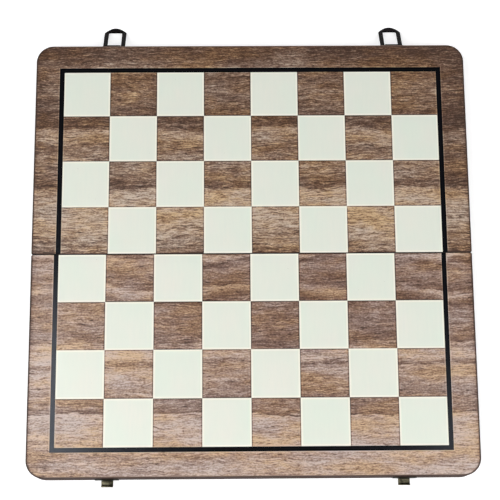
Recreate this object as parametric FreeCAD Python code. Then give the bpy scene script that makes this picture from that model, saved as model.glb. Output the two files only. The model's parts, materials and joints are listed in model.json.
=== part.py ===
import FreeCAD, Part
import math
import os

# A folding games compendium box, opened flat with its playing side up.
# Two shallow trays stand mouth down, side by side, hinged along one long edge of each.
# Their backs carry a chess and draughts board in veneer, and their insides a backgammon table.
# Lengths are in millimetres and angles in degrees.
# X runs along the seam, Y across it from the near half to the far half, and Z up.
# The origin lies under the middle of the seam, on the table that the hinge barrels touch.
# Both halves are drawn on the far side of the seam, and the near one is then mirrored over.

# Chequered field and its border, which set the size of the board
square = 41.5
columns = 8
rows_per_half = 4
line_width = 3.8
line_overlap = 0.6
border_width = 20.1
edge_lip = 1.2
seam_lip = 0.15
veneer = 0.6
near_field_shift = -1.5

# Carcase
half_height = 25.0
wall = 9.0
panel_thickness = 4.0
corner_radius = 15.0
seam_corner_radius = 1.5
edge_round = 1.0
seam_gap = 0.6
closed_gap = 0.8

# Backgammon points on the tray floors
points_per_side = 6
points_apart = 63.0
point_gap = 1.0

# Butt hinges
hinge_length = 38.0
hinge_inset = 75.5
knuckles = 3
knuckle_gap = 0.2
barrel_radius = 1.6
barrel_clearance = 0.3
pin_radius = 0.8
pin_clearance = 0.04
leaf_reach = 8.0
leaf_thickness = 0.8
mortise_clearance = 0.1

# Countersunk screws
screw_head_radius = 1.7
screw_radius = 0.9
screw_length = 7.5
screw_slot = 0.4
screw_sides = 16
hinge_screw_spacing = 24.0
hinge_screw_edge = 3.1

# Latches
left_latch_inset = 67.8
right_latch_inset = 62.7
latch_sheet = 1.0
latch_width = 20.5
latch_corner = 2.0
latch_screw_spacing = 14.4
loop_plate_rise = 7.0
loop_plate_drop = 1.5
loop_plate_screw_rise = 3.8
swing_clearance = 0.2
loop_axis_height = 15.5
loop_width = 20.0
loop_arm = 4.0
loop_thickness = 1.2
loop_bar_radius = 0.95
loop_bar_clearance = 0.05
loop_eye_radius = 1.2
loop_window_end = 25.0
loop_reach = 30.2
loop_bend_radius = 8.5
loop_bend_angle = 60.0
loop_corner = 1.2
catch_shift = -0.8
catch_height = 9.5
catch_reach = 6.8
catch_bend = 2.4
catch_lip = 3.8
catch_side_clearance = 0.2
catch_play = 0.1

# Levels and places that follow from the sizes above
axis_z = barrel_radius
rim_z = axis_z + closed_gap / 2
top_z = rim_z + half_height
panel_z = top_z - panel_thickness
veneer_z = top_z - veneer
lining_z = panel_z - veneer
field_half_width = columns * square / 2
field_depth = rows_per_half * square
line_outset = line_width - line_overlap
margin_width = line_outset + border_width + edge_lip
half_width = field_half_width + margin_width
seam_y = seam_gap / 2
field_y = seam_y + seam_lip
outer_y = field_y + field_depth + margin_width
tray_half_width = half_width - wall
tray_y_range = (seam_y + wall, outer_y - wall)
hinge_centres = (hinge_inset - half_width, half_width - hinge_inset)
loop_centres = (left_latch_inset - half_width, half_width - right_latch_inset)
catch_centres = tuple(centre + catch_shift for centre in loop_centres)
loop_axis_out = latch_sheet + swing_clearance + loop_eye_radius
loop_axis_y = outer_y + loop_axis_out
loop_axis_z = rim_z + loop_axis_height
loop_window_half = loop_width / 2 - loop_arm
loop_corner_reach = max(loop_corner - catch_side_clearance, 0)
loop_corner_rise = loop_corner - math.sqrt(loop_corner**2 - loop_corner_reach**2)
catch_depth = loop_window_end - loop_axis_height - closed_gap - loop_corner_rise - catch_play
catch_mouth_z = rim_z + catch_depth
catch_z = catch_mouth_z - latch_sheet

RIGHT = FreeCAD.Vector(1, 0, 0)
FAR = FreeCAD.Vector(0, 1, 0)
UP = FreeCAD.Vector(0, 0, 1)
ORIGIN = FreeCAD.Vector(0, 0, 0)
OVERCUT = 1.0
TOUCH = 0.001


def vector(x, y, z):
    return FreeCAD.Vector(x, y, z)


def block(x_range, y_range, z_range):
    """Box between the two limits given along each axis."""
    low = vector(x_range[0], y_range[0], z_range[0])
    size = vector(x_range[1], y_range[1], z_range[1]) - low
    return Part.makeBox(size.x, size.y, size.z, low)


def slab(outline, z_range):
    """Upright prism on a closed outline of (x, y) points."""
    points = [vector(x, y, z_range[0]) for x, y in outline]
    face = Part.Face(Part.makePolygon(points + points[:1]))
    return face.extrude(UP * (z_range[1] - z_range[0]))


def rod(radius, x_range, y, z):
    """Cylinder along X."""
    return Part.makeCylinder(radius, x_range[1] - x_range[0], vector(x_range[0], y, z), RIGHT)


def round_upright_edges(solid, y, radius):
    """Round the vertical edges of a solid that stand at depth y."""
    edges = []
    for edge in solid.Edges:
        limits = edge.BoundBox
        upright = limits.ZLength > limits.XLength + limits.YLength
        if upright and abs(limits.Center.y - y) < TOUCH:
            edges.append(edge)
    return solid.makeFillet(radius, edges)


def join(solids):
    """Fuse solids that are one piece of material."""
    return solids[0].fuse(solids[1:]).removeSplitter()


def mirrored(shape):
    """The near half's copy of a shape drawn on the far half."""
    return shape.mirror(ORIGIN, FAR)


# Carcase of one half

def half_block(z_range):
    """One half's outline, with its rounded outer corners and eased seam corners."""
    solid = block((-half_width, half_width), (seam_y, outer_y), z_range)
    solid = round_upright_edges(solid, outer_y, corner_radius)
    return round_upright_edges(solid, seam_y, seam_corner_radius)


def rails():
    """The four rails of one tray, mitred together at the corners."""
    x_out = half_width
    x_in = tray_half_width
    y_near, y_far = tray_y_range
    levels = (rim_z, panel_z)
    plans = {
        "long_rail": [(-x_out, outer_y), (-x_in, y_far), (x_in, y_far), (x_out, outer_y)],
        "spine_rail": [(-x_out, seam_y), (-x_in, y_near), (x_in, y_near), (x_out, seam_y)],
        "left_rail": [(-x_out, seam_y), (-x_in, y_near), (-x_in, y_far), (-x_out, outer_y)],
        "right_rail": [(x_out, seam_y), (x_in, y_near), (x_in, y_far), (x_out, outer_y)],
    }
    body = half_block(levels)
    return {name: slab(plan, levels).common(body) for name, plan in plans.items()}


def panel():
    """Board that closes the tray, its top edge rounded over and its back sunk for the veneer."""
    solid = block((-half_width, half_width), (seam_y, outer_y), (panel_z, top_z))
    solid = round_upright_edges(solid, outer_y, corner_radius)
    at_seam = [edge for edge in solid.Edges if edge.BoundBox.YMax < seam_y + edge_round]
    top_edges = []
    for edge in solid.Edges:
        on_top = edge.BoundBox.ZMin > top_z - edge_round
        if on_top and not any(edge.isSame(other) for other in at_seam):
            top_edges.append(edge)
    solid = solid.makeFillet(edge_round, top_edges)
    solid = solid.common(half_block((panel_z, top_z)))
    return solid.cut(veneered_area((veneer_z, top_z + OVERCUT)))


def veneered_area(z_range):
    """Everything inside the bare edge of the panel."""
    x_half = half_width - edge_lip
    solid = block((-x_half, x_half), (field_y, outer_y - edge_lip), z_range)
    return round_upright_edges(solid, outer_y - edge_lip, corner_radius - edge_lip)


# Veneers of the playing surface

def field_block(shift, margin):
    """The chequered field of one half, widened by a margin on its three outer sides."""
    x_half = field_half_width + margin
    y_range = (field_y, field_y + field_depth + margin)
    return block((shift - x_half, shift + x_half), y_range, (veneer_z, top_z))


def border_veneer(shift):
    return veneered_area((veneer_z, top_z)).cut(field_block(shift, line_outset))


def inlay_line(shift):
    """Line that laps over the outermost squares on the field's three outer sides."""
    return field_block(shift, line_outset).cut(field_block(shift, -line_overlap))


def squares(shift, parity):
    """The squares of one colour. Parity is the sum of a square's column and row, even or odd."""
    solids = []
    inside_line = field_block(shift, -line_overlap)
    for column in range(columns):
        for row in range(rows_per_half):
            if (column + row) % 2 == parity:
                x = shift - field_half_width + column * square
                y = field_y + row * square
                whole = block((x, x + square), (y, y + square), (veneer_z, top_z))
                solids += whole.common(inside_line).Solids
    return Part.makeCompound(solids)


# Backgammon table on the tray floor

def tray_point(side, index):
    """One long triangle, standing on the left (-1) or right (+1) wall of the tray."""
    pitch = (tray_y_range[1] - tray_y_range[0]) / points_per_side
    start = tray_y_range[0] + index * pitch
    base_x = side * tray_half_width
    tip_x = side * points_apart / 2
    low = start + point_gap / 2
    high = start + pitch - point_gap / 2
    plan = [(base_x, low), (base_x, high), (tip_x, (low + high) / 2)]
    return slab(plan, (lining_z, panel_z))


def tray_points(parity):
    """The points of one colour. Facing points have opposite colours."""
    solids = []
    for index in range(points_per_side):
        side = -1 if index % 2 == parity else 1
        solids.append(tray_point(side, index))
    return Part.makeCompound(solids)


def tray_ground():
    """Veneer between the points."""
    floor = block((-tray_half_width, tray_half_width), tray_y_range, (lining_z, panel_z))
    points = [tray_point(side, index) for side in (-1, 1) for index in range(points_per_side)]
    return floor.cut(points)


# Screws

def screw_ring(radius, z):
    """Points round a screw at one level."""
    angles = [math.tau * index / screw_sides for index in range(screw_sides)]
    return [vector(radius * math.cos(angle), radius * math.sin(angle), z) for angle in angles]


def screw_blank():
    """Countersunk head and shank with narrow flat sides, below a head face at z = 0."""
    neck = screw_radius - screw_head_radius
    rings = [
        screw_ring(screw_head_radius, 0),
        screw_ring(screw_radius, neck),
        screw_ring(screw_radius, -screw_length),
    ]
    faces = [Part.Face(Part.makePolygon(ring + ring[:1])) for ring in (rings[0], rings[-1])]
    for upper, lower in zip(rings, rings[1:]):
        for index in range(screw_sides):
            side = [upper[index - 1], upper[index], lower[index], lower[index - 1]]
            faces.append(Part.Face(Part.makePolygon(side + side[:1])))
    return Part.Solid(Part.Shell(faces))


def screw_at(position, facing, slotted):
    """Screw with its head at a position, facing along a direction."""
    solid = screw_blank()
    if slotted:
        half_slot = screw_slot / 2
        reach = screw_head_radius + OVERCUT
        solid = solid.cut(block((-reach, reach), (-half_slot, half_slot), (-screw_slot, OVERCUT)))
    turn = FreeCAD.Rotation(UP, facing)
    solid.Placement = FreeCAD.Placement(position, turn)
    return solid


def hinge_screw_places():
    places = []
    for centre in hinge_centres:
        for side in (-0.5, 0.5):
            x = centre + side * hinge_screw_spacing
            places.append(vector(x, seam_y + leaf_reach - hinge_screw_edge, rim_z))
    return places


def latch_screw_places(centres, z):
    places = []
    for centre in centres:
        for side in (-0.5, 0.5):
            x = centre + side * latch_screw_spacing
            places.append(vector(x, outer_y + latch_sheet, z))
    return places


def screws(places, facing, slotted):
    return [screw_at(place, facing, slotted) for place in places]


# Hinges

def knuckle_spans(centre, first):
    """Lengths of the barrel that belong to one leaf. The far leaf has the first, the near the second."""
    pitch = (hinge_length + knuckle_gap) / knuckles
    start = centre - hinge_length / 2
    ends = [start + index * pitch for index in range(knuckles)]
    return [(end, end + pitch - knuckle_gap) for end in ends[first::2]]


def widened(span, margin):
    return (span[0] - margin, span[1] + margin)


def hinge_span(centre):
    return (centre - hinge_length / 2, centre + hinge_length / 2)


def hinge_leaf(centre, first):
    """Leaf let into the rim of a spine rail, with its own knuckles rolled round the pin."""
    leaf = block(hinge_span(centre), (seam_y, seam_y + leaf_reach), (rim_z, rim_z + leaf_thickness))
    gaps = []
    for span in knuckle_spans(centre, 1 - first):
        gaps.append(rod(barrel_radius + barrel_clearance, widened(span, knuckle_gap), 0, axis_z))
    leaf = leaf.cut(gaps)
    barrel = [rod(barrel_radius, span, 0, axis_z) for span in knuckle_spans(centre, first)]
    leaf = join([leaf] + barrel)
    bore = rod(pin_radius + pin_clearance, widened(hinge_span(centre), OVERCUT), 0, axis_z)
    return leaf.cut([bore] + screws(hinge_screw_places(), -UP, False))


def hinge_pin(centre):
    """Pin that ends flush with the barrel."""
    return rod(pin_radius, hinge_span(centre), 0, axis_z)


def hinge_recess(centre):
    """Mortise for a leaf, and the hollow in which the barrel turns."""
    span = widened(hinge_span(centre), mortise_clearance)
    y_range = (seam_y - OVERCUT, seam_y + leaf_reach + mortise_clearance)
    mortise = block(span, y_range, (rim_z - OVERCUT, rim_z + leaf_thickness))
    groove_span = widened(hinge_span(centre), barrel_clearance)
    groove = rod(barrel_radius + barrel_clearance, groove_span, 0, axis_z)
    return [mortise, groove]


# Latches

def latch_plate(centre, z_range):
    """Flat plate on the outer face of a long rail, with rounded corners."""
    x_half = latch_width / 2
    y_range = (outer_y, outer_y + latch_sheet)
    solid = block((centre - x_half, centre + x_half), y_range, z_range)
    corners = [edge for edge in solid.Edges if edge.BoundBox.YLength > latch_sheet / 2]
    return solid.makeFillet(latch_corner, corners)


def loop_plate(centre):
    """Plate whose lower edge is rolled into the knuckle that holds the loop's bar."""
    plate = latch_plate(centre, (loop_axis_z - loop_plate_drop, loop_axis_z + loop_plate_rise))
    x_half = loop_window_half - swing_clearance
    span = (centre - x_half, centre + x_half)
    bore_radius = loop_bar_radius + loop_bar_clearance
    knuckle = rod(bore_radius + latch_sheet, span, loop_axis_y, loop_axis_z)
    web_z = (loop_axis_z, loop_axis_z + bore_radius + latch_sheet)
    web = block(span, (outer_y, loop_axis_y), web_z)
    bore = rod(bore_radius, widened(span, OVERCUT), loop_axis_y, loop_axis_z)
    return join([plate, knuckle, web]).cut([bore] + loop_plate_screws(False))


def loop_plate_screws(slotted):
    places = latch_screw_places(loop_centres, loop_axis_z + loop_plate_screw_rise)
    return screws(places, FAR, slotted)


def loop_droop():
    """Angle below level, in degrees, at which a loop's tip lies on the table."""
    under = loop_bend_radius + loop_thickness / 2
    tip_rise = loop_bend_radius - math.sqrt(under**2 - (loop_reach - loop_window_end) ** 2)
    tip_distance = math.hypot(loop_reach, tip_rise)
    slope = math.asin(loop_axis_z / tip_distance)
    return math.degrees(slope + math.atan2(tip_rise, loop_reach))


def bent_sheet():
    """Side form of a loop: straight from the bar, then curled outwards at its end."""
    half = loop_thickness / 2
    start = loop_window_end
    radius = loop_bend_radius
    bend = loop_bend_angle

    def on_bend(offset, degrees):
        angle = math.radians(degrees)
        reach = radius + offset
        return vector(0, start + reach * math.sin(angle), radius - reach * math.cos(angle))

    edges = [
        Part.makeLine(vector(0, 0, -half), vector(0, start, -half)),
        Part.Arc(on_bend(half, 0), on_bend(half, bend / 2), on_bend(half, bend)).toShape(),
        Part.makeLine(on_bend(half, bend), on_bend(-half, bend)),
        Part.Arc(on_bend(-half, bend), on_bend(-half, bend / 2), on_bend(-half, 0)).toShape(),
        Part.makeLine(vector(0, start, half), vector(0, 0, half)),
        Part.makeLine(vector(0, 0, half), vector(0, 0, -half)),
    ]
    face = Part.Face(Part.Wire(edges))
    solid = face.extrude(RIGHT * loop_width)
    solid.translate(RIGHT * (-loop_width / 2))
    return solid


def loop_plan():
    """Outline of a loop from above: straight arms and an arched end."""
    x_half = loop_width / 2
    depth = loop_reach
    edges = [
        Part.makeLine(vector(-x_half, 0, -depth), vector(x_half, 0, -depth)),
        Part.makeLine(vector(x_half, 0, -depth), vector(x_half, loop_window_end, -depth)),
        Part.Arc(
            vector(x_half, loop_window_end, -depth),
            vector(0, loop_reach, -depth),
            vector(-x_half, loop_window_end, -depth),
        ).toShape(),
        Part.makeLine(vector(-x_half, loop_window_end, -depth), vector(-x_half, 0, -depth)),
    ]
    return Part.Face(Part.Wire(edges)).extrude(UP * 2 * depth)


def loop(centre):
    """Loop that swings down over a catch, drawn flat and then let down to where it rests."""
    x_half = loop_width / 2
    window_x = (-loop_window_half, loop_window_half)
    window = block(window_x, (-OVERCUT, loop_window_end), (-loop_reach, loop_reach))
    window = round_upright_edges(window, loop_window_end, loop_corner)
    frame = bent_sheet().common(loop_plan()).cut(window)
    left_eye = rod(loop_eye_radius, (-x_half, window_x[0]), 0, 0)
    right_eye = rod(loop_eye_radius, (window_x[1], x_half), 0, 0)
    bar = rod(loop_bar_radius, (-x_half, x_half), 0, 0)
    solid = join([frame, left_eye, right_eye, bar])
    solid.rotate(ORIGIN, RIGHT, -loop_droop())
    solid.translate(vector(centre, loop_axis_y, loop_axis_z))
    return solid


def hook_strip(centre):
    """Strip bent out of the plate's lower edge and turned up into a lip."""
    x_half = loop_window_half - catch_side_clearance - abs(catch_shift)
    sheet = latch_sheet
    outer = catch_bend
    inner = catch_bend - sheet
    y_root = outer_y
    y_bend = outer_y + catch_reach - catch_bend
    z_bend = catch_z + catch_bend
    z_lip = catch_z + catch_lip
    slope = math.sqrt(0.5)

    def at(y, z):
        return vector(centre - x_half, y, z)

    def on_bend(radius):
        return at(y_bend + radius * slope, z_bend - radius * slope)

    y_out = y_bend + outer
    y_in = y_bend + inner
    edges = [
        Part.makeLine(at(y_root, catch_z), at(y_bend, catch_z)),
        Part.Arc(at(y_bend, catch_z), on_bend(outer), at(y_out, z_bend)).toShape(),
        Part.makeLine(at(y_out, z_bend), at(y_out, z_lip)),
        Part.makeLine(at(y_out, z_lip), at(y_in, z_lip)),
        Part.makeLine(at(y_in, z_lip), at(y_in, z_bend)),
        Part.Arc(at(y_in, z_bend), on_bend(inner), at(y_bend, catch_mouth_z)).toShape(),
        Part.makeLine(at(y_bend, catch_mouth_z), at(y_root, catch_mouth_z)),
        Part.makeLine(at(y_root, catch_mouth_z), at(y_root, catch_z)),
    ]
    return Part.Face(Part.Wire(edges)).extrude(RIGHT * 2 * x_half)


def catch(centre):
    """Plate with the hook that a loop drops over when the box is shut."""
    plate = latch_plate(centre, (catch_z, catch_z + catch_height))
    return join([plate, hook_strip(centre)]).cut(catch_screws(False))


def catch_screws(slotted):
    places = latch_screw_places(catch_centres, catch_z + catch_height / 2)
    return screws(places, FAR, slotted)


# Assembly

def half_nodes(name, shift, light_parity):
    """All the pieces of one half but its hinge leaves and latches, drawn on the far side."""
    pieces = rails()
    latch_holes = loop_plate_screws(False) if name == "far" else catch_screws(False)
    pieces["long_rail"] = pieces["long_rail"].cut(latch_holes)
    recesses = [recess for centre in hinge_centres for recess in hinge_recess(centre)]
    holes = screws(hinge_screw_places(), -UP, False)
    pieces["spine_rail"] = pieces["spine_rail"].cut(recesses + holes)
    pieces["panel"] = panel()
    pieces["border_veneer"] = border_veneer(shift)
    pieces["inlay_line"] = inlay_line(shift)
    pieces["light_squares"] = squares(shift, light_parity)
    pieces["dark_squares"] = squares(shift, 1 - light_parity)
    pieces["tray_ground"] = tray_ground()
    pieces["tray_light_points"] = tray_points(light_parity)
    pieces["tray_dark_points"] = tray_points(1 - light_parity)
    pieces["hinge_screws"] = Part.makeCompound(screws(hinge_screw_places(), -UP, True))
    return {f"{name}_{piece}": shape for piece, shape in pieces.items()}


def nodes():
    """Every node of the box, by name."""
    far = half_nodes("far", 0, 1)
    far["far_latch_screws"] = Part.makeCompound(loop_plate_screws(True))
    near = half_nodes("near", near_field_shift, 0)
    near["near_latch_screws"] = Part.makeCompound(catch_screws(True))
    for index, side in enumerate(("left", "right")):
        far[f"{side}_hinge_far_leaf"] = hinge_leaf(hinge_centres[index], 0)
        far[f"{side}_hinge_pin"] = hinge_pin(hinge_centres[index])
        far[f"{side}_loop_plate"] = loop_plate(loop_centres[index])
        far[f"{side}_loop"] = loop(loop_centres[index])
        near[f"{side}_hinge_near_leaf"] = hinge_leaf(hinge_centres[index], 1)
        near[f"{side}_catch"] = catch(catch_centres[index])
    far.update({name: mirrored(shape) for name, shape in near.items()})
    return far


os.makedirs("parts", exist_ok=True)
for node, shape in nodes().items():
    shape.exportStep(f"parts/{node}.step")
    print(f"{node:24s} solids {len(shape.Solids):3d}  volume {shape.Volume:12.2f}  valid {shape.isValid()}")
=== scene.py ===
import json
import math

import bmesh
import bpy
from mathutils import Matrix, Vector

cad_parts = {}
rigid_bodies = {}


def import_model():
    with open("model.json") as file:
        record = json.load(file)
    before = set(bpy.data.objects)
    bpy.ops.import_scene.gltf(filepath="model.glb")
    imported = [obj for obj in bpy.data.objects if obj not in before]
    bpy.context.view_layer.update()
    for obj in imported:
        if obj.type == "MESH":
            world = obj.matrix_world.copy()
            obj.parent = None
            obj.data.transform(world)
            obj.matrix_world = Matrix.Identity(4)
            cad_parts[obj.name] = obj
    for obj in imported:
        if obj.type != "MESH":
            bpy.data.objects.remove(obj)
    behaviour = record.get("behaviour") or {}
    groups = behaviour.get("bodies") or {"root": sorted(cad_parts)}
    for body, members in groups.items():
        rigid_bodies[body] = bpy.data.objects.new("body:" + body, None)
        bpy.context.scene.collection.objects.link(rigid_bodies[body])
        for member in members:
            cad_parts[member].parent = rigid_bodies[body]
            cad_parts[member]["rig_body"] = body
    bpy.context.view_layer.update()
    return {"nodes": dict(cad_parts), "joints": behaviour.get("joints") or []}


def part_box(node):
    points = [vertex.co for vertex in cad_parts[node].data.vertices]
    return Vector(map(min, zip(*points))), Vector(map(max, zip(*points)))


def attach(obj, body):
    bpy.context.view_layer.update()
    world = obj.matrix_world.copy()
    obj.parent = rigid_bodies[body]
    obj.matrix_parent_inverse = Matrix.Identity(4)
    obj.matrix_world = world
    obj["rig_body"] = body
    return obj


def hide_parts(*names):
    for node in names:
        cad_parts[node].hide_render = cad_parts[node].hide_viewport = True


# Finish, light and camera of a folding chess and backgammon box, lying open with its board up.
# Lengths are in metres in the frame of the CAD model: X along the seam, Y away from the camera, Z up.
# Inside the finishes, places and distances are in millimetres in the same frame.
# The wood, the veneers, the pins and the screws are the CAD solids themselves. The loops are remade with
# domed arms. The catches, the loops' plates and the hinges' leaves are copies with their sharp edges eased.

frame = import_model()
MM = 0.001
WHITE = (1.0, 1.0, 1.0, 1.0)

# Photograph's camera
CAMERA_PLACE = Vector((-15.85, -262.52, 1179.74)) * MM
CAMERA_RIGHT = Vector((0.9999137, -0.008005, 0.010417))
CAMERA_DOWN = Vector((-0.0054615, -0.9744417, -0.2245741))
CAMERA_AHEAD = Vector((0.0119485, 0.2244978, -0.9744014))
SENSOR = 36.0
LENS = 98.53
CLIP_END = 20.0

# Light
WORLD_LEVEL = 0.11
# Heights of a reflected ray's direction between which the white backdrop fades into the dim ceiling
BACKDROP_FADE = (0.12, 0.18)
# Two ceiling panels with a dark gap between them: their place, size and radiance
LEFT_PANEL = (Vector((-0.85, -0.46, 1.5)), (1.1, 1.36), 3.8)
RIGHT_PANEL = (Vector((0.87, -0.55, 1.5)), (0.9, 1.21), 3.1)
# Soft lamps towards the front and the back: place, size and radiance
FRONT_LAMP = (Vector((0.0, -1.6, 1.2)), (1.4, 0.8), 3.4)
BACK_LAMP = (Vector((0.5, 1.9, 0.9)), (1.2, 0.8), 2.6)

# Floor
FLOOR_SIZE = 6.0
FLOOR_COLOUR = (0.8, 0.8, 0.8, 1.0)
FLOOR_GLOW = 0.58
# Distances from the origin, in millimetres, between which the shadowed floor turns plain white
POOL = (350.0, 1300.0)


# Nodes

def colour(red, green, blue):
    """Scene colour of an 8-bit display colour."""
    def linear(level):
        share = level / 255
        return share / 12.92 if share <= 0.04045 else ((share + 0.055) / 1.055) ** 2.4
    return (linear(red), linear(green), linear(blue), 1.0)


class Graph:
    """Node tree of the world or of a material, with short names for what its nodes do."""

    def __init__(self, owner):
        owner.use_nodes = True
        self.tree = owner.node_tree

    def node(self, kind, **settings):
        made = self.tree.nodes.new(kind)
        for name, value in settings.items():
            setattr(made, name, value)
        return made

    def feed(self, socket, value):
        if isinstance(value, bpy.types.NodeSocket):
            self.tree.links.new(value, socket)
        else:
            socket.default_value = value

    def outputs(self, kind, *values, **settings):
        """Outputs of a new node, whose first inputs get the values."""
        made = self.node(kind, **settings)
        for socket, value in zip(made.inputs, values):
            self.feed(socket, value)
        return made.outputs

    def math(self, operation, *values):
        return self.outputs("ShaderNodeMath", *values, operation=operation)[0]

    def chain(self, operation, values):
        total = values[0]
        for value in values[1:]:
            total = self.math(operation, total, value)
        return total

    def sum(self, *values):
        return self.chain("ADD", values)

    def least(self, *values):
        return self.chain("MINIMUM", values)

    def most(self, *values):
        return self.chain("MAXIMUM", values)

    def minus(self, value, other):
        return self.math("SUBTRACT", value, other)

    def times(self, value, factor):
        return self.math("MULTIPLY", value, factor)

    def magnitude(self, value):
        return self.math("ABSOLUTE", value)

    def span(self, value, low, high, to_low=0.0, to_high=1.0):
        """to_low up to low, to_high from high on, and a straight run between them."""
        return self.outputs("ShaderNodeMapRange", value, low, high, to_low, to_high, clamp=True)[0]

    def axes(self, place):
        return self.outputs("ShaderNodeSeparateXYZ", place)


class Finish(Graph):
    """Material whose nodes work in the space of the piece that wears it."""

    def __init__(self, name):
        self.material = bpy.data.materials.new(name)
        super().__init__(self.material)
        self.shader = self.tree.nodes["Principled BSDF"]
        metres = self.node("ShaderNodeTexCoord").outputs["Object"]
        self.place = self.scaled(metres, (1 / MM,) * 3)

    def set(self, **values):
        """Sets or feeds the shader's sockets, with underscores for spaces in their names."""
        for name, value in values.items():
            self.feed(self.shader.inputs[name.replace("_", " ")], value)

    def scaled(self, place, factors):
        return self.outputs("ShaderNodeVectorMath", place, factors, operation="MULTIPLY")[0]

    def moved(self, place, shift):
        return self.outputs("ShaderNodeVectorMath", place, shift, operation="ADD")[0]

    def vector(self, x, y, z):
        return self.outputs("ShaderNodeCombineXYZ", x, y, z)[0]

    def noise(self, place, factors, detail=3.0, roughness=0.55):
        """Noise about 0.5, with its density per millimetre given along each axis."""
        made = self.node("ShaderNodeTexNoise")
        self.feed(made.inputs["Vector"], self.scaled(place, factors))
        made.inputs["Scale"].default_value = 1.0
        made.inputs["Detail"].default_value = detail
        made.inputs["Roughness"].default_value = roughness
        return made.outputs["Fac"]

    def swing(self, value, size):
        """A value about 0.5 turned into one about 0, size at full swing."""
        return self.times(self.minus(value, 0.5), size)

    def waver(self, size, place, factors, **texture):
        """Noise about 0, size at full swing."""
        return self.swing(self.noise(place, factors, **texture), size)

    def ramp(self, value, stops):
        """Greys or colours, each with its position, in straight runs."""
        made = self.node("ShaderNodeValToRGB")
        self.feed(made.inputs[0], value)
        ramp = made.color_ramp
        while len(ramp.elements) < len(stops):
            ramp.elements.new(1.0)
        for element, (position, tint) in zip(ramp.elements, stops):
            element.position = position
            element.color = tint if isinstance(tint, tuple) else (tint, tint, tint, 1.0)
        return made.outputs[0]

    def mix(self, share, first, second, blend="MIX"):
        made = self.node("ShaderNodeMix", data_type="RGBA", blend_type=blend)
        self.feed(made.inputs[0], share)
        self.feed(made.inputs[6], first)
        self.feed(made.inputs[7], second)
        return made.outputs[2]

    def relief(self, height, depth):
        """Bump from a height of 0 to 1 that stands for a depth in metres."""
        made = self.node("ShaderNodeBump")
        made.inputs["Distance"].default_value = depth
        self.feed(made.inputs["Height"], height)
        self.set(Normal=made.outputs[0])


# Board's veneers

BOARD_REACH = 200.0
CORNER = 15.0
SQUARE = 41.5

# Rings of each half's walnut, as (distance from the seam, tone from dark to light); the near half's are
# paler, which carries a painted sheen
FAR_RINGS = [
    (0.0, 0.42), (3.0, 0.62), (5.0, 0.46), (7.0, 0.78), (9.5, 0.48), (11.0, 0.80), (14.0, 0.52),
    (16.0, 0.84), (19.0, 0.84), (20.0, 0.50), (21.5, 0.84), (29.0, 0.86), (30.0, 0.62), (31.0, 0.84),
    (48.0, 0.84), (58.5, 0.80), (60.0, 0.28), (63.0, 0.34), (68.0, 0.54), (84.0, 0.62), (96.0, 0.46),
    (98.5, 0.60), (107.0, 0.76), (111.5, 0.68), (114.0, 0.30), (124.0, 0.30), (134.0, 0.44),
    (150.0, 0.52), (160.0, 0.38), (172.0, 0.50), (180.0, 0.33), (190.0, 0.24),
]
NEAR_RINGS = [
    (0.0, 0.82), (4.0, 0.84), (5.5, 0.34), (9.0, 0.58), (16.0, 0.66), (22.0, 0.44), (29.0, 0.48),
    (33.0, 0.80), (37.0, 0.56), (41.0, 0.34), (46.0, 0.56), (66.0, 0.54), (77.0, 0.44), (80.0, 0.62),
    (86.0, 0.84), (93.0, 0.86), (94.5, 0.44), (98.0, 0.72), (108.0, 0.76), (118.0, 0.62),
    (136.0, 0.56), (137.5, 0.36), (138.5, 0.88), (152.0, 0.84), (166.0, 0.90), (174.0, 0.74),
    (184.0, 0.86), (191.0, 0.78),
]

# Each half's walnut: its place in the noise, its rings, the strength of its fine figure, the blue of its
# cast, greyer in the near half as a painted sheen, and what its tone gains as painted light: sheen at the
# board's left end, sheen and shade at the border's left and right ends, shade round the outline (a loss,
# whose sharp edge is partly the edge's own dark stain) and shade at the seam
WALNUTS = {
    "far": {
        "seed": 40.0, "rings": FAR_RINGS, "figure": 2.8, "blueness": 0.89,
        "left_sheen": 0.0, "left_border_lighting": -0.07, "right_border_lighting": -0.15, "outline": 0.28, "seam": -0.7,
    },
    "near": {
        "seed": 260.0, "rings": NEAR_RINGS, "figure": 1.6, "blueness": 1.0,
        "left_sheen": 0.16, "left_border_lighting": 0.0, "right_border_lighting": 0.05, "outline": 0.44, "seam": -0.1,
    },
}
WALNUT_TONES = [
    (0.0, colour(62, 40, 30)), (0.25, colour(96, 69, 56)), (0.45, colour(126, 97, 82)),
    (0.62, colour(152, 124, 108)), (0.80, colour(182, 156, 138)), (1.0, colour(212, 190, 174)),
]
# Warm, plain and greyish wood, as factors of its tone
WALNUT_CASTS = [(0.2, (1.01, 0.91, 0.72)), (0.5, (0.98, 0.955, 0.95)), (0.8, (0.95, 1.0, 1.11))]
# Levels of the noise between which an open pore fades, and the tone that it takes away at each
PORES = (0.28, 0.4, 0.42, 0.0)

# Places or distances between which a change of tone fades, with its size or share at each where that is fixed
# Painted sheen on the near half's left end: where it fades along the board, and its share by depth
LEFT_SHEEN = (-130.0, -30.0)
LEFT_SHEEN_BY_DEPTH = (115.0, 175.0, 1.0, -0.6)
# Painted sheen and shade at the border's left and right ends: where they fade, and the right end's share by
# depth
LEFT_BORDER = (-170.0, -120.0)
RIGHT_BORDER = (40.0, 170.0)
RIGHT_BORDER_BY_DEPTH = (40.0, 60.0, 0.65, 1.42)
RIGHT_BORDER_FAR_OUT = (118.0, 134.0, 1.0, 0.72)
# The outline darkens in a sharp edge, which takes most of it and is partly the edge's own dark stain and
# partly painted shade, and a soft painted shade
OUTLINE_EDGE = (1.2, 2.2)
OUTLINE_SHADE = (1.2, 6.0)
OUTLINE_EDGE_SHARE = 0.7
# Painted shade on the border beside the seam
SEAM_SHADE = (0.7, 1.5)
JOINT_SHADE = (0.3, 1.2, 0.5, 0.0)
LINE_RIM = (0.4, 1.2, 0.36, 0.0)
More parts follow.
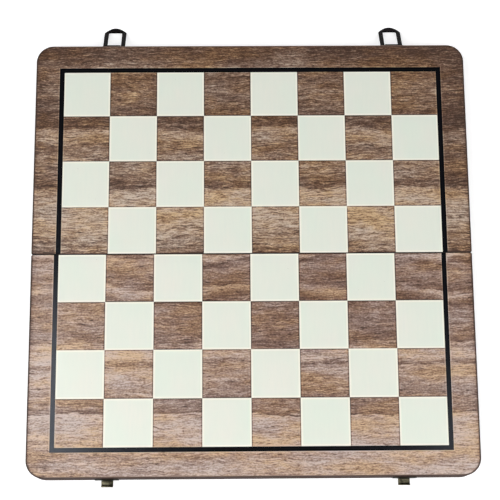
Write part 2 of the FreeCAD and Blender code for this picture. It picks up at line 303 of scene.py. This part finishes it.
# Share of the creamy edge of a pale square, likewise
IVORY_RIM = (0.9, 1.9, 0.78, 0.0)

# How far the black line's ink runs into each half's veneers, and over which width it fades
INK_RUN = {"far": 0.3, "near": 0.17}
INK_FADE = 0.1
INK = colour(5, 4, 6)

# Roughness of the varnish, smooth to dull. It stays above 0.285, and the black line's below 0.26, because
# the denoiser leaves patches in a finish whose roughness crosses between them.
VARNISH = (0.285, 0.34)
LINE_VARNISH = (0.16, 0.22)


def edge_distances(finish, half):
    """Distances to the nearest joint between squares and to the black line."""
    low, high = (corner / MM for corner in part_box(f"{half}_dark_squares"))
    seam_side, line_side = (low.y, high.y) if half == "far" else (high.y, low.y)
    x, y, _ = finish.axes(finish.place)
    joints = []
    for value, start in ((x, (low.x + high.x) / 2), (y, seam_side)):
        share = finish.math("FRACT", finish.math("DIVIDE", finish.minus(value, start), SQUARE))
        joints.append(finish.times(finish.least(share, finish.minus(1.0, share)), SQUARE))
    ends = ((x, low.x), (x, high.x), (y, line_side))
    line = finish.least(*(finish.magnitude(finish.minus(value, end)) for value, end in ends))
    return finish.least(*joints), line


def line_distance(finish, half):
    """Distance outwards from the black line, for the border round it."""
    low, high = (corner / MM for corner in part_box(f"{half}_inlay_line"))
    x, y, _ = finish.axes(finish.place)
    across = finish.magnitude(finish.minus(x, (low.x + high.x) / 2))
    beside = finish.minus(across, (high.x - low.x) / 2)
    beyond = finish.minus(finish.magnitude(y), max(abs(low.y), abs(high.y)))
    return finish.most(beside, beyond)


def outline_distance(finish):
    """Distance inwards from the box's left and right sides and their corners."""
    _, high = (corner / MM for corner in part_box("far_panel"))
    x, y, _ = finish.axes(finish.place)
    side = finish.most(finish.minus(finish.magnitude(x), high.x - CORNER), 0.0)
    end = finish.most(finish.minus(finish.magnitude(y), high.y - CORNER), 0.0)
    end = finish.times(end, finish.span(side, 0.0, CORNER / 2))
    squares = finish.sum(finish.math("POWER", side, 2.0), finish.math("POWER", end, 2.0))
    return finish.minus(CORNER, finish.math("SQRT", squares))


def walnut_tone(finish, wood):
    """Tone of rings that wander along the board, with fibres and open pores, and the fibres alone."""
    place = finish.moved(finish.place, (wood["seed"], 0.0, 0.0))
    x, y, z = finish.axes(place)
    bend = finish.waver(7.0, place, (0.045, 0.06, 0.0), detail=2.0)
    bent = finish.vector(x, finish.sum(y, bend), z)
    strands = finish.noise(bent, (0.02, 0.36, 0.0), detail=4.0, roughness=0.85)
    depth = finish.magnitude(y)
    warped = finish.sum(
        depth,
        finish.waver(26.0, place, (0.011, 0.016, 0.0), detail=1.0),
        finish.waver(5.0, place, (0.05, 0.14, 0.0), detail=2.0),
        finish.swing(strands, 16.0),
    )
    rings = finish.ramp(finish.math("DIVIDE", warped, BOARD_REACH),
                        [(at / BOARD_REACH, tone) for at, tone in wood["rings"]])
    clouds = finish.waver(0.16, place, (0.022, 0.07, 0.0), detail=2.0)
    fibres = finish.sum(
        finish.swing(strands, 1.5),
        finish.waver(wood["figure"], bent, (0.10, 0.85, 0.0), detail=3.0, roughness=0.9),
        finish.waver(0.9, place, (0.55, 0.8, 0.0), detail=2.0),
    )
    # Painted sheen towards the near half's left end, fading with depth
    left_sheen = finish.times(
        finish.span(finish.axes(finish.place)[0], *LEFT_SHEEN, wood["left_sheen"], 0.0),
        finish.span(depth, *LEFT_SHEEN_BY_DEPTH),
    )
    pores = finish.span(finish.noise(bent, (0.16, 0.9, 0.0), detail=1.0), *PORES)
    return finish.minus(finish.sum(rings, clouds, fibres, left_sheen), pores), fibres


def border_light_and_shade(finish, wood):
    """What the border's tone gains as painted light: sheen and shade at its left and right ends, shade round
    the outline, whose sharp edge is partly its own dark stain, and shade at the seam.
    """
    x, y, _ = finish.axes(finish.place)
    depth = finish.magnitude(y)
    inwards = outline_distance(finish)
    right_share = finish.times(finish.span(depth, *RIGHT_BORDER_BY_DEPTH),
                               finish.span(depth, *RIGHT_BORDER_FAR_OUT))
    return (
        finish.span(x, *LEFT_BORDER, wood["left_border_lighting"], 0.0),
        finish.times(finish.span(x, *RIGHT_BORDER, 0.0, wood["right_border_lighting"]), right_share),
        finish.span(inwards, *OUTLINE_EDGE, -wood["outline"] * OUTLINE_EDGE_SHARE, 0.0),
        finish.span(inwards, *OUTLINE_SHADE, -wood["outline"] * (1 - OUTLINE_EDGE_SHARE), 0.0),
        finish.span(depth, *SEAM_SHADE, wood["seam"], 0.0),
    )


def inked(finish, half, line, tint):
    """The tint of a veneer, with the black line's ink run a little way into its edge."""
    share = finish.span(line, INK_RUN[half] - INK_FADE / 2, INK_RUN[half] + INK_FADE / 2, 1.0, 0.0)
    return finish.mix(share, tint, INK)


def walnut(half, squared):
    """Varnished walnut of one half's dark squares or of its border."""
    wood = WALNUTS[half]
    finish = Finish(f"walnut_veneer_{half}_{'squares' if squared else 'border'}")
    tone, fibres = walnut_tone(finish, wood)
    if squared:
        joint, line = edge_distances(finish, half)
        tone = finish.minus(tone, finish.span(joint, *JOINT_SHADE))
    else:
        line = line_distance(finish, half)
        # Painted sheen and shade at the border's ends, painted shade round its outline and at the seam
        tone = finish.sum(tone, *border_light_and_shade(finish, wood))
    tone = finish.sum(tone, finish.span(line, *LINE_RIM))
    hue = finish.sum(
        finish.noise(finish.place, (0.05, 0.13, 0.0), detail=2.0),
        finish.waver(1.7, finish.place, (0.012, 0.045, 0.0), detail=1.0),
        finish.waver(0.6, finish.place, (0.14, 0.6, 0.0), detail=2.0),
    )
    cast = finish.ramp(hue, [
        (at, (red, green, blue * wood["blueness"], 1.0)) for at, (red, green, blue) in WALNUT_CASTS
    ])
    tint = finish.mix(1.0, finish.ramp(tone, WALNUT_TONES), cast, "MULTIPLY")
    finish.set(
        Base_Color=inked(finish, half, line, tint),
        Roughness=finish.span(tone, 0.2, 0.8, *reversed(VARNISH)),
    )
    finish.relief(finish.sum(finish.times(tone, 0.4), fibres), 0.06 * MM)
    return finish.material


def ivory(half):
    """Pale veneer with faint streaks across the squares, a few specks and a creamy edge."""
    seed = WALNUTS[half]["seed"]
    finish = Finish(f"pale_veneer_{half}")
    place = finish.moved(finish.place, (seed, seed, 0.0))
    clouds = finish.noise(place, (0.03, 0.022, 0.0), detail=2.0)
    streaks = finish.noise(place, (0.5, 0.05, 0.0), detail=3.0)
    specks = finish.span(finish.noise(place, (0.4, 0.5, 0.0), detail=1.0), 0.80, 0.84)
    joint, line = edge_distances(finish, half)
    tint = finish.mix(finish.span(clouds, 0.3, 0.7), colour(232, 240, 226), colour(238, 238, 226))
    tint = finish.mix(finish.span(streaks, 0.3, 0.7, 0.0, 0.25), tint, colour(226, 234, 224))
    tint = finish.mix(finish.span(finish.least(joint, line), *IVORY_RIM), tint, colour(255, 252, 236))
    tint = finish.mix(specks, tint, colour(190, 192, 178))
    finish.set(
        Base_Color=inked(finish, half, line, tint),
        Roughness=finish.span(clouds, 0.3, 0.7, *VARNISH),
    )
    finish.relief(streaks, 0.02 * MM)
    return finish.material


def black_line():
    finish = Finish("black_inlay")
    dust = finish.noise(finish.place, (0.3, 0.3, 0.0), detail=4.0)
    finish.set(
        Base_Color=finish.mix(dust, colour(0, 0, 1), colour(4, 3, 5)),
        Roughness=finish.span(dust, 0.3, 0.7, *LINE_VARNISH),
        Specular_Tint=(0.82, 0.88, 1.0, 1.0),
    )
    finish.relief(finish.noise(finish.place, (0.2, 0.9, 0.0), detail=3.0), 0.02 * MM)
    return finish.material


# Plain wood and metal

GRAIN_ALONG = 0.035
GRAIN_ACROSS = 0.9
SLOW_GRAIN = 0.13

# Parts of a panel, each as two places and a share at each of them. On top of its near and far edges it has
# a painted highlight as pale as the veneer, its walls are stained as the rails are, and the top of the seam
# is painted black as shade.
NEAR_EDGE_HIGHLIGHT = (-189.8, -189.0, 0.9, 0.0)
FAR_EDGE_HIGHLIGHT = (189.0, 189.8, 0.0, 0.45)
HIGHLIGHT_TOP = (26.0, 26.4)
HIGHLIGHT_ENDS = (172.0, 178.0, 1.0, 0.0)
NEAR_WALL = (-190.4, -190.1, 1.0, 0.0)
WALL_TOP = (25.7, 26.2, 1.0, 0.0)
SEAM_WALL = (0.6, 0.9, 1.0, 0.0)
SEAM_TOP = (24.6, 25.4)
# Plate of a catch, which lies against the near wall, likewise
CATCH_PLATE = (-192.9, -192.2, 0.0, 0.9)


def grain(finish, along, seed):
    """Fibres that run along one axis, as a value about 0.5."""
    factors = [GRAIN_ACROSS] * 3
    factors["XYZ".index(along)] = GRAIN_ALONG
    place = finish.moved(finish.place, (seed, seed, seed))
    slow = finish.noise(place, [factor * SLOW_GRAIN for factor in factors], detail=2.0)
    fine = finish.noise(place, factors, detail=5.0, roughness=0.65)
    return finish.sum(finish.times(slow, 0.5), finish.times(fine, 0.5))


def wear(finish, radius, low, high):
    """Share of an edge's wear, which on wood also stands for a painted highlight: how far the rounded normal
    turns from the flat one.
    """
    bevel = finish.node("ShaderNodeBevel", samples=4)
    bevel.inputs["Radius"].default_value = radius
    flat = finish.node("ShaderNodeNewGeometry").outputs["Normal"]
    dot = finish.outputs("ShaderNodeVectorMath", bevel.outputs[0], flat, operation="DOT_PRODUCT")
    patches = finish.noise(finish.place, (0.25, 0.25, 0.25), detail=3.0)
    turn = finish.span(finish.minus(1.0, dot["Value"]), low, high)
    return finish.times(turn, finish.span(patches, 0.35, 0.62))


def panel_tint(finish, share, tint):
    """A panel's stain, with a painted highlight as pale as its veneer on two edges' tops, dark on its walls,
    painted black shade in the seam.
    """
    x, y, z = finish.axes(finish.place)
    # Painted highlight on the tops of the near and far edges, stronger on the near one
    pale = finish.sum(finish.span(y, *NEAR_EDGE_HIGHLIGHT), finish.span(y, *FAR_EDGE_HIGHLIGHT))
    pale = finish.times(pale, finish.span(z, *HIGHLIGHT_TOP))
    pale = finish.times(pale, finish.span(finish.magnitude(x), *HIGHLIGHT_ENDS))
    tint = finish.mix(pale, tint, colour(156, 132, 118))
    walls = finish.most(finish.span(y, *NEAR_WALL), finish.span(z, *WALL_TOP))
    tint = finish.mix(walls, tint, finish.mix(share, colour(38, 23, 17), colour(66, 41, 31)))
    # Painted shade: the top of the seam's faces is near black
    seam = finish.times(finish.span(finish.magnitude(y), *SEAM_WALL), finish.span(z, *SEAM_TOP))
    return finish.mix(seam, tint, colour(8, 4, 3))


def plain_wood(name, along, seed, dark, light, worn, roughness=0.4, gloss=0.5, panel=False):
    """Wood in two tones along its grain, paler at its edges as wear and as a painted highlight on their
    rounding.
    """
    finish = Finish(name)
    value = grain(finish, along, seed)
    share = finish.span(value, 0.36, 0.64)
    tint = finish.mix(share, dark, light)
    if panel:
        tint = panel_tint(finish, share, tint)
    # The worn tone along the edges is wear and also a painted highlight on their rounding
    finish.set(
        Base_Color=finish.mix(finish.times(wear(finish, 0.5 * MM, 0.02, 0.2), 0.6), tint, worn),
        Roughness=finish.span(value, 0.35, 0.65, roughness + 0.08, roughness - 0.06),
        Specular_IOR_Level=gloss,
    )
    finish.relief(value, 0.12 * MM)
    return finish.material


def metal(name, seed, dark, light, worn, roughness, metallic=1.0, gloss=0.5, grazing=1.0, plate=None):
    """Plated sheet: mottled patina, rubbed bright along its edges, with fine scratches.

    A catch's plate may have a tone of its own.
    """
    finish = Finish(name)
    place = finish.moved(finish.place, (seed, 0.0, seed))
    mottle = finish.noise(place, (0.5, 0.5, 0.5), detail=4.0)
    scratch = finish.noise(place, (0.4, 6.0, 4.0), detail=3.0)
    tint = finish.mix(finish.span(mottle, 0.38, 0.62), dark, light)
    tint = finish.mix(wear(finish, 0.25 * MM, 0.01, 0.2), tint, worn)
    if plate:
        tint = finish.mix(finish.span(finish.axes(finish.place)[1], *CATCH_PLATE), tint, plate)
    rough = finish.sum(mottle, scratch)
    finish.set(
        Base_Color=tint,
        Metallic=metallic,
        Specular_IOR_Level=gloss,
        Specular_Tint=(grazing, grazing, grazing, 1.0),
        Roughness=finish.span(rough, 0.8, 1.2, roughness - 0.05, roughness + 0.08),
    )
    finish.relief(rough, 0.03 * MM)
    return finish.material


def wear_finishes():
    """Gives every solid its finish, by the ending of its node's name."""
    stain = (colour(40, 23, 17), colour(74, 45, 33), colour(120, 82, 60))
    rail_x = plain_wood("stained_wood_along_seam", "X", 3.0, *stain, roughness=0.66, gloss=0.05)
    rail_y = plain_wood("stained_wood_across_seam", "Y", 5.0, *stain, roughness=0.66, gloss=0.05)
    panel = plain_wood("stained_panel", "X", 8.0, colour(58, 44, 37), colour(80, 62, 54),
                       colour(92, 73, 64), roughness=0.55, gloss=0.2, panel=True)
    ground = plain_wood("tray_veneer", "X", 11.0, colour(140, 98, 62), colour(176, 130, 88),
                        colour(188, 146, 104))
    dark_point = plain_wood("dark_point_veneer", "X", 17.0, colour(52, 33, 26), colour(82, 54, 42),
                            colour(96, 66, 52))
    pale_point = plain_wood("pale_point_veneer", "X", 23.0, colour(204, 196, 170),
                            colour(222, 216, 194), colour(232, 226, 206))
    brass = metal("hinge_brass", 2.0, colour(162, 131, 79), colour(180, 148, 91),
                  colour(222, 196, 140), roughness=0.34)
    dark_bronze = metal("dark_bronze", 4.0, colour(10, 7, 8), colour(24, 19, 19), colour(44, 36, 34),
                        roughness=0.36, metallic=0.6, gloss=0.2, grazing=0.4)
    bronze = metal("antique_bronze", 6.0, colour(60, 57, 46), colour(104, 100, 82),
                   colour(186, 182, 160), roughness=0.35, plate=colour(18, 14, 13))
    endings = {
        "long_rail": rail_x, "spine_rail": rail_x, "left_rail": rail_y, "right_rail": rail_y,
        "panel": panel, "inlay_line": black_line(),
        "tray_ground": ground, "tray_dark_points": dark_point, "tray_light_points": pale_point,
        "hinge_far_leaf": brass, "hinge_near_leaf": brass, "hinge_pin": brass, "hinge_screws": brass,
        "loop_plate": dark_bronze, "loop": dark_bronze, "far_latch_screws": dark_bronze,
        "near_latch_screws": bronze, "catch": bronze,
    }
    for half in WALNUTS:
        endings[f"{half}_border_veneer"] = walnut(half, squared=False)
        endings[f"{half}_dark_squares"] = walnut(half, squared=True)
        endings[f"{half}_light_squares"] = ivory(half)
    for name, solid in frame["nodes"].items():
        finish = next(material for ending, material in endings.items() if name.endswith(ending))
        for slot in solid.material_slots:
            slot.material = finish


# Fittings

# Widths of the eased edges, by the ending of the node's name
EASED = {
    "catch": 0.28 * MM, "loop_plate": 0.2 * MM, "hinge_far_leaf": 0.12 * MM, "hinge_near_leaf": 0.12 * MM,
}
WELD = 1e-6
FLAT_ANGLE = math.radians(1.0)
SHARP_ANGLE = math.radians(30.0)

# A loop: two arms, straight as far from the bar's axis as LOOP_STRAIGHT, and an arched tip that curls up
LOOP_WIDTH = 20.0 * MM
LOOP_ARM = 4.0 * MM
LOOP_HALF_THICKNESS = 0.6 * MM
LOOP_STRAIGHT = 25.0 * MM
LOOP_REACH = 30.2 * MM
LOOP_BEND = 8.5 * MM
LOOP_CORNER = 1.2 * MM
LOOP_SHOULDER = 1.3 * MM
LOOP_EYE = 1.2 * MM
LOOP_BAR = 0.95 * MM
LOOP_CHAMFER = 0.2 * MM
ARM_STEPS = 6
SHOULDER_STEPS = 6
ARCH_STEPS = 5
EYE_SIDES = 28

# Section of a loop's arm: flat underneath and domed on top, across its width and its half thickness
LOOP_SECTION = [
    (0.0, -0.5), (0.03, -0.85), (0.1, -1.0), (0.5, -1.0), (0.9, -1.0), (0.97, -0.85), (1.0, -0.5),
    (1.0, -0.1), (0.96, 0.3), (0.86, 0.65), (0.7, 0.9), (0.5, 1.0), (0.3, 0.9), (0.14, 0.65), (0.04, 0.3),
    (0.0, -0.1),
]


def link(name, data):
    made = bpy.data.objects.new(name, data)
    bpy.context.scene.collection.objects.link(made)
    return made


def stand_in(piece, node):
    """Puts a piece in its node's place: the same body, and the finish of the same slot."""
    solid = frame["nodes"][node]
    piece.data.materials.clear()
    piece.data.materials.append(solid.material_slots[0].material)
    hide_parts(node)
    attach(piece, solid["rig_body"])


def eased(node, width):
    """Copy of a solid with its sharp edges rounded."""
    shape = bmesh.new()
    shape.from_mesh(frame["nodes"][node].data)
    bmesh.ops.remove_doubles(shape, verts=shape.verts, dist=WELD)
    bmesh.ops.dissolve_limit(shape, angle_limit=FLAT_ANGLE, verts=shape.verts, edges=shape.edges)
    weights = shape.edges.layers.float.new("bevel_weight_edge")
    for edge in shape.edges:
        if len(edge.link_faces) == 2 and edge.calc_face_angle() > SHARP_ANGLE:
            edge[weights] = 1.0
    mesh = bpy.data.meshes.new(f"{node}_eased")
    shape.to_mesh(mesh)
    shape.free()
    mesh.shade_smooth()
    piece = link(f"{node}_eased", mesh)
    ease = piece.modifiers.new("ease", "BEVEL")
    ease.width = width
    ease.segments = 2
    ease.limit_method = "WEIGHT"
    ease.harden_normals = True
    stand_in(piece, node)


def steps(count):
    return [index / count for index in range(count + 1)]


def loop_stations():
    """Pairs of outer and inner points of a loop's plan, from its left root round to its right one."""
    side = LOOP_WIDTH / 2
    window = side - LOOP_ARM
    rise = LOOP_REACH - LOOP_STRAIGHT
    radius = (side ** 2 + rise ** 2) / (2 * rise)
    start = math.asin(side / radius) - LOOP_SHOULDER / radius
    centre = LOOP_REACH - radius

    def arch(angle):
        return Vector((radius * math.sin(angle), centre + radius * math.cos(angle)))

    half = []
    for share in steps(ARM_STEPS):
        along = share * (LOOP_STRAIGHT - LOOP_SHOULDER)
        half.append((Vector((-side, along)), Vector((-window, min(along, LOOP_STRAIGHT - LOOP_CORNER)))))
    shoulder = (Vector((-side, LOOP_STRAIGHT - LOOP_SHOULDER)), Vector((-side, LOOP_STRAIGHT)), arch(-start))
    for share in steps(SHOULDER_STEPS)[1:]:
        outer = shoulder[0].lerp(shoulder[1], share).lerp(shoulder[1].lerp(shoulder[2], share), share)
        turn = share * math.pi / 2
        inner = Vector((
            -window + LOOP_CORNER * (1 - math.cos(turn)),
            LOOP_STRAIGHT - LOOP_CORNER * (1 - math.sin(turn)),
        ))
        half.append((outer, inner))
    for share in steps(ARCH_STEPS)[1:]:
        inner_x = (LOOP_CORNER - window) * (1 - share)
        half.append((arch(-start * (1 - share)), Vector((inner_x, LOOP_STRAIGHT))))
    flip = [tuple(Vector((-point.x, point.y)) for point in pair) for pair in reversed(half[:-1])]
    return half + flip


def bend(reach, height):
    """Point of the loop's curled sheet, above a reach from its bar."""
    past = max(reach - LOOP_STRAIGHT, 0.0)
    turn = math.asin(min(past / LOOP_BEND, 1.0))
    along = min(reach, LOOP_STRAIGHT) + (LOOP_BEND - height) * math.sin(turn)
    return along, LOOP_BEND - (LOOP_BEND - height) * math.cos(turn)


def skin(shape, rings):
    """Quads between neighbouring rings of vertices."""
    for first, second in zip(rings, rings[1:]):
        for index in range(len(first)):
            after = (index + 1) % len(first)
            shape.faces.new((first[index], first[after], second[after], second[index]))


def finished(shape, name):
    bmesh.ops.recalc_face_normals(shape, faces=shape.faces)
    mesh = bpy.data.meshes.new(name)
    shape.to_mesh(mesh)
    shape.free()
    mesh.shade_smooth()
    return mesh


def loop_frame_mesh():
    """Arms and arched tip of a loop."""
    shape = bmesh.new()
    rings = []
    for outer, inner in loop_stations():
        ring = []
        for across, height in LOOP_SECTION:
            x, reach = inner.lerp(outer, across)
            ring.append(shape.verts.new((x, *bend(reach, height * LOOP_HALF_THICKNESS))))
        rings.append(ring)
    skin(shape, rings)
    shape.faces.new(reversed(rings[0]))
    shape.faces.new(rings[-1])
    return finished(shape, "loop_frame")


def loop_eye_mesh():
    """Bar of a loop with the thicker eye at each of its ends, turned about X from (x, radius) points."""
    side = LOOP_WIDTH / 2
    window = side - LOOP_ARM
    left = [
        (-side, LOOP_EYE - LOOP_CHAMFER), (-side + LOOP_CHAMFER, LOOP_EYE),
        (-window - LOOP_CHAMFER, LOOP_EYE), (-window, LOOP_EYE - LOOP_CHAMFER), (-window, LOOP_BAR),
    ]
    turns = [math.tau * index / EYE_SIDES for index in range(EYE_SIDES)]
    shape = bmesh.new()
    rings = [
        [shape.verts.new((x, radius * math.cos(turn), radius * math.sin(turn))) for turn in turns]
        for x, radius in left + [(-x, radius) for x, radius in reversed(left)]
    ]
    skin(shape, rings)
    shape.faces.new(rings[0])
    shape.faces.new(reversed(rings[-1]))
    return finished(shape, "loop_eye")


def joined(first, second, name):
    """One closed mesh from two that overlap."""
    base = link(name, first)
    tool = link(f"{name}_tool", second)
    union = base.modifiers.new("union", "BOOLEAN")
    union.operation = "UNION"
    union.solver = "EXACT"
    union.object = tool
    made = bpy.data.meshes.new_from_object(base.evaluated_get(bpy.context.evaluated_depsgraph_get()))
    bpy.data.objects.remove(base)
    bpy.data.objects.remove(tool)
    made.shade_smooth()
    made.set_sharp_from_angle(angle=SHARP_ANGLE)
    return made


def loop_droop(axis_height):
    """Angle below level at which the tip lies on the table."""
    under = LOOP_BEND + LOOP_HALF_THICKNESS
    tip_rise = LOOP_BEND - math.sqrt(under ** 2 - (LOOP_REACH - LOOP_STRAIGHT) ** 2)
    slope = math.asin(axis_height / math.hypot(LOOP_REACH, tip_rise))
    return slope + math.atan2(tip_rise, LOOP_REACH)


def build_fittings():
    mesh = joined(loop_frame_mesh(), loop_eye_mesh(), "loop")
    for joint in frame["joints"]:
        if joint["child"].endswith("_loop"):
            place = Vector(joint["pos_m"])
            turned = mesh.copy()
            turned.transform(Matrix.Translation(place) @ Matrix.Rotation(-loop_droop(place.z), 4, "X"))
            piece = link(f"{joint['child']}_domed", turned)
            stand_in(piece, joint["child"])
    for side in ("left", "right"):
        for ending, width in EASED.items():
            eased(f"{side}_{ending}", width)


# Stage

def backdrop_share(graph, rays):
    """1 where a ray shows the background: seen straight, in a gloss or through glass."""
    return graph.most(rays["Is Camera Ray"], rays["Is Glossy Ray"], rays["Is Transmission Ray"])


def build_world():
    """White backdrop all round for the camera, and up to a little above the horizon in gloss and glass."""
    world = bpy.data.worlds.new("world")
    bpy.context.scene.world = world
    graph = Graph(world)
    background = graph.tree.nodes["Background"]
    background.inputs["Color"].default_value = WHITE
    height = graph.axes(graph.node("ShaderNodeTexCoord").outputs["Generated"])["Z"]
    below_ceiling = graph.span(height, *BACKDROP_FADE, 1.0, 0.0)
    rays = graph.node("ShaderNodeLightPath").outputs
    share = graph.most(graph.times(backdrop_share(graph, rays), below_ceiling), rays["Is Camera Ray"])
    graph.feed(background.inputs["Strength"], graph.span(share, 0.0, 1.0, WORLD_LEVEL, 1.0))


def build_floor():
    """Pale floor that shows white past its shadows, and plain pale to every other ray."""
    mesh = bpy.data.meshes.new("floor")
    shape = bmesh.new()
    bmesh.ops.create_grid(shape, x_segments=1, y_segments=1, size=FLOOR_SIZE / 2)
    shape.to_mesh(mesh)
    shape.free()
    floor = link("floor", mesh)
    finish = Finish("floor")
    finish.set(Base_Color=FLOOR_COLOUR, Roughness=1.0, Specular_IOR_Level=0.0)
    plain = finish.shader.outputs[0]
    white = finish.outputs("ShaderNodeEmission", WHITE, 1.0)[0]
    glow = finish.outputs("ShaderNodeEmission", WHITE, FLOOR_GLOW)[0]
    lit = finish.outputs("ShaderNodeAddShader", plain, glow)[0]
    distance = finish.outputs("ShaderNodeVectorMath", finish.place, operation="LENGTH")["Value"]
    backdrop = finish.outputs("ShaderNodeMixShader", finish.span(distance, *POOL), lit, white)[0]
    shown = backdrop_share(finish, finish.node("ShaderNodeLightPath").outputs)
    seen = finish.outputs("ShaderNodeMixShader", shown, plain, backdrop)[0]
    finish.feed(finish.tree.nodes["Material Output"].inputs["Surface"], seen)
    mesh.materials.append(finish.material)


def area_light(name, place, size, radiance, aimed):
    """Lamp of an even radiance over its face, turned towards the origin or left facing down."""
    data = bpy.data.lights.new(name, "AREA")
    data.shape = "RECTANGLE"
    data.size, data.size_y = size
    data.energy = radiance * math.pi * size[0] * size[1]
    light = link(name, data)
    light.location = place
    if aimed:
        light.rotation_euler = (-place).to_track_quat("-Z", "Y").to_euler()


def build_camera():
    data = bpy.data.cameras.new("camera")
    data.sensor_width = SENSOR
    data.lens = LENS
    data.clip_end = CLIP_END
    camera = link("camera", data)
    turn = Matrix((CAMERA_RIGHT, -CAMERA_DOWN, -CAMERA_AHEAD)).transposed()
    camera.matrix_world = Matrix.Translation(CAMERA_PLACE) @ turn.to_4x4()
    bpy.context.scene.camera = camera


bpy.context.scene.view_settings.view_transform = "Standard"
build_camera()
build_world()
build_floor()
area_light("left_panel", *LEFT_PANEL, aimed=False)
area_light("right_panel", *RIGHT_PANEL, aimed=False)
area_light("front_lamp", *FRONT_LAMP, aimed=True)
area_light("back_lamp", *BACK_LAMP, aimed=True)
wear_finishes()
build_fittings()
